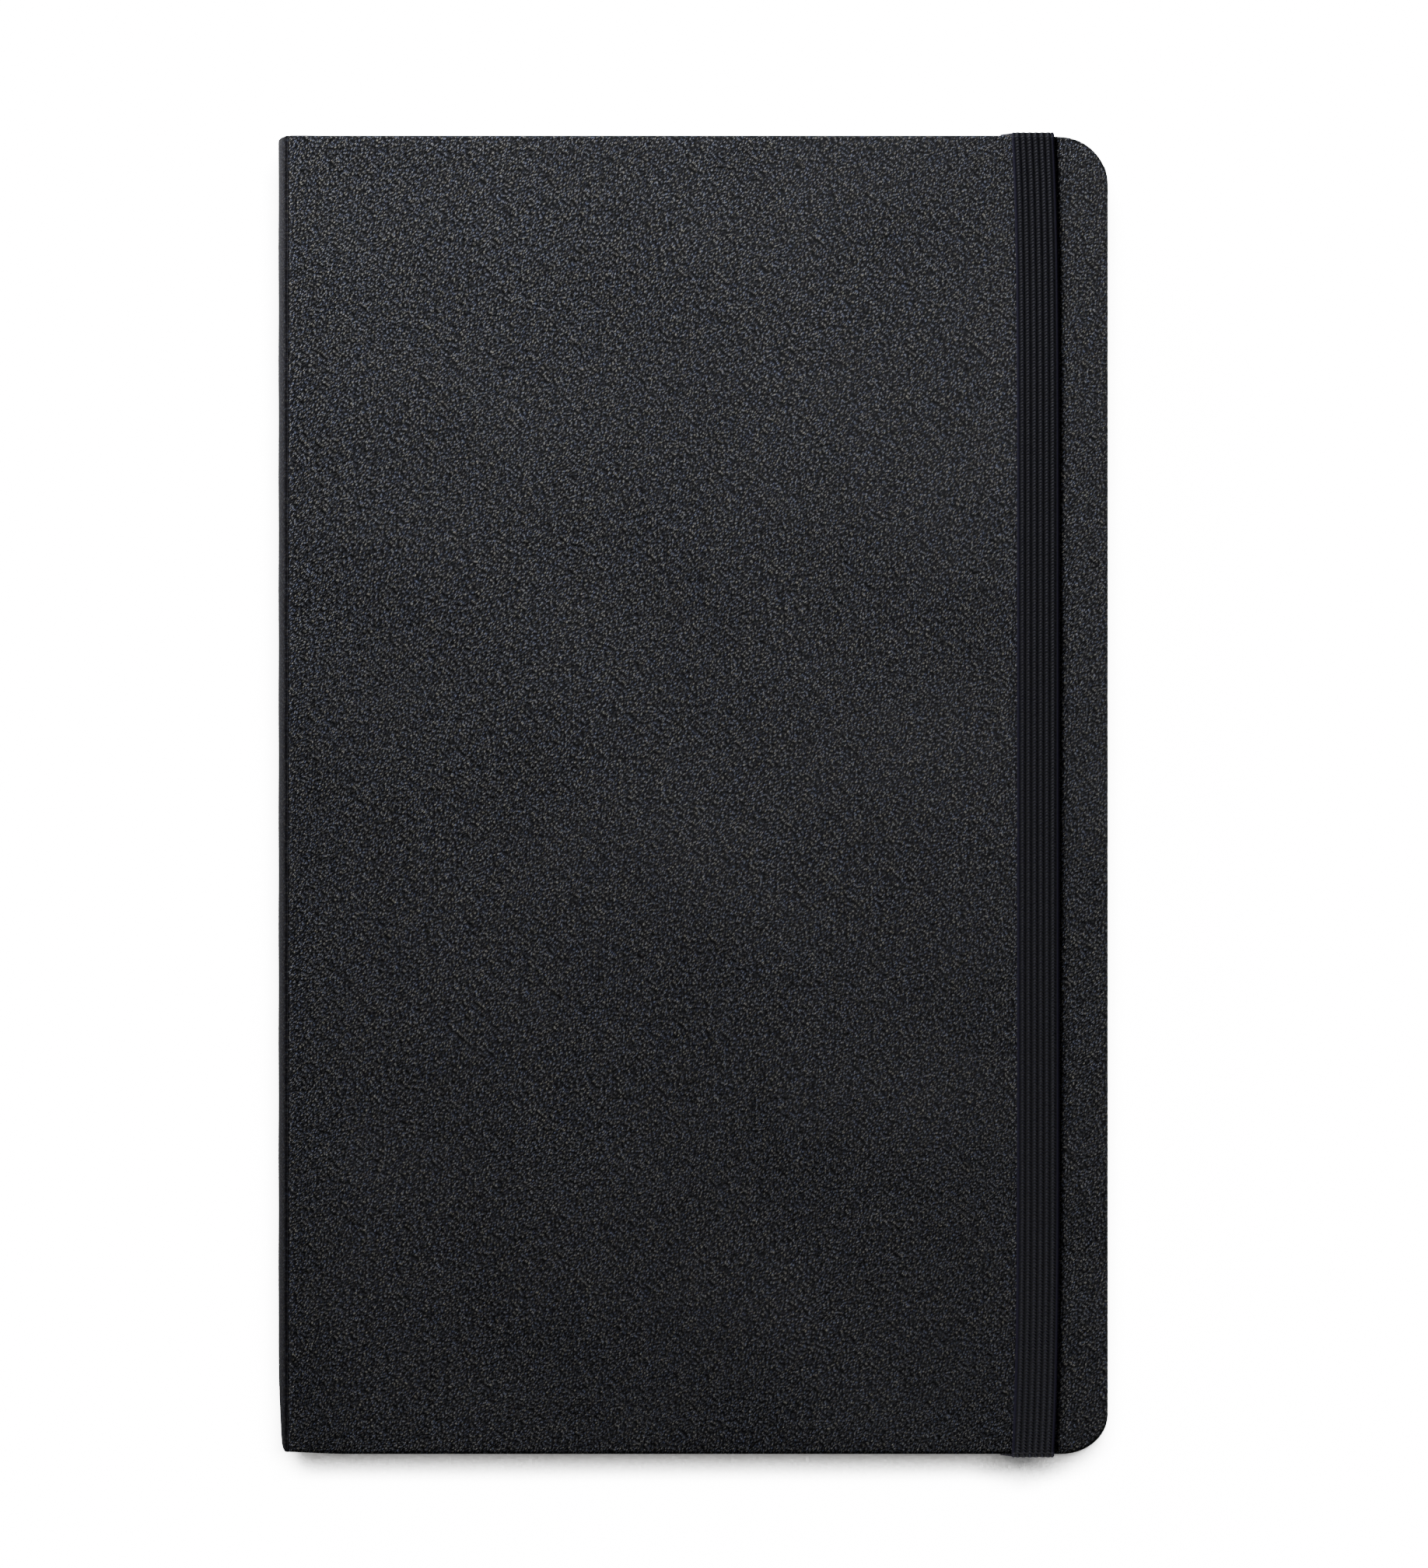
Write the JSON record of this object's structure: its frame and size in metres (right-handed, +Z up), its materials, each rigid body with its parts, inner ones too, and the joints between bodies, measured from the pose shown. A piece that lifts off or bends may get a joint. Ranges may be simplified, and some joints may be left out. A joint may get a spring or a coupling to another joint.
{
  "type": "sketchbook",
  "caption": "Hardbound sketchbook with rounded corners, black pebble-grain cover, sewn pages, expanding back pocket and an elastic closure.",
  "frame": {"origin": "under the middle of the book, on the outer face of the back cover, with the book lying closed on its back cover", "axes": "+X from the spine to the fore edge, +Y from the tail to the head, +Z up from the back cover through the front cover"},
  "size_m": [0.1322, 0.211, 0.0149],
  "materials": {
    "cover_leather": "semi-matt, fine pebble grain",
    "grey_board": "matt",
    "lining_paper": "matt",
    "endpaper": "matt",
    "drawing_paper": "matt, faint tooth",
    "mull_cloth": "open weave",
    "linen_thread": "waxed",
    "pocket_card": "matt",
    "pocket_cloth": "plain weave",
    "elastic": "ribbed knit"
  },
  "bodies": {
    "text_block": {"signature_5": "drawing_paper", "signature_6": "drawing_paper", "signature_7": "drawing_paper", "signature_8": "drawing_paper", "sewing_thread_rear": "linen_thread", "spine_skin_rear": "cover_leather", "spine_liner_rear": "grey_board", "spine_mull_rear": "mull_cloth", "back_flyleaf": "endpaper"},
    "front_block": {"signature_1": "drawing_paper", "signature_2": "drawing_paper", "signature_3": "drawing_paper", "signature_4": "drawing_paper", "sewing_thread_front": "linen_thread", "spine_skin_front": "cover_leather", "spine_liner_front": "grey_board", "spine_mull_front": "mull_cloth", "front_flyleaf": "endpaper"},
    "front_cover": {"front_cover_skin": "cover_leather", "front_cover_board": "grey_board", "front_cover_infill": "lining_paper", "front_pastedown": "endpaper"},
    "back_cover": {"back_cover_skin": "cover_leather", "back_cover_board": "grey_board", "back_cover_infill": "lining_paper", "back_pastedown": "endpaper", "pocket_hinge_strip": "pocket_card", "pocket_gusset_head": "pocket_cloth", "pocket_gusset_tail": "pocket_cloth", "elastic_head_return": "elastic", "elastic_tail_return": "elastic"},
    "pocket_flap": {"pocket_panel": "pocket_card"},
    "elastic_band": {"elastic_front_run": "elastic", "elastic_head_wrap": "elastic", "elastic_tail_wrap": "elastic"}
  },
  "joints": [
    {"name": "centre_spread", "type": "hinge", "parent": "text_block", "child": "front_block", "pos_m": [-0.0662, 0, 0.00733], "axis": [0, -1, 0], "range_deg": [0, 180]},
    {"name": "front_cover_hinge", "type": "hinge", "parent": "front_block", "child": "front_cover", "pos_m": [-0.0661, 0, 0.01456], "axis": [0, -1, 0], "range_deg": [0, 180]},
    {"name": "back_cover_hinge", "type": "hinge", "parent": "text_block", "child": "back_cover", "pos_m": [-0.0661, 0, -0.00016], "axis": [0, 1, 0], "range_deg": [0, 180]},
    {"name": "pocket_gape", "type": "hinge", "parent": "back_cover", "child": "pocket_flap", "pos_m": [0.0626, 0, 0.00162], "axis": [0, 1, 0], "range_deg": [0, 10], "deforming": ["pocket_gusset_head", "pocket_gusset_tail"]},
    {"name": "elastic_swing", "type": "hinge", "parent": "back_cover", "child": "elastic_band", "pos_m": [0.0524, 0, 0.0003], "axis": [0, 1, 0], "range_deg": [0, 180], "deforming": ["elastic_front_run"]}
  ],
  "couplings": [
    {"joint": "pocket_gape", "follows": "back_cover_hinge", "ratio": 0.05}
  ]
}
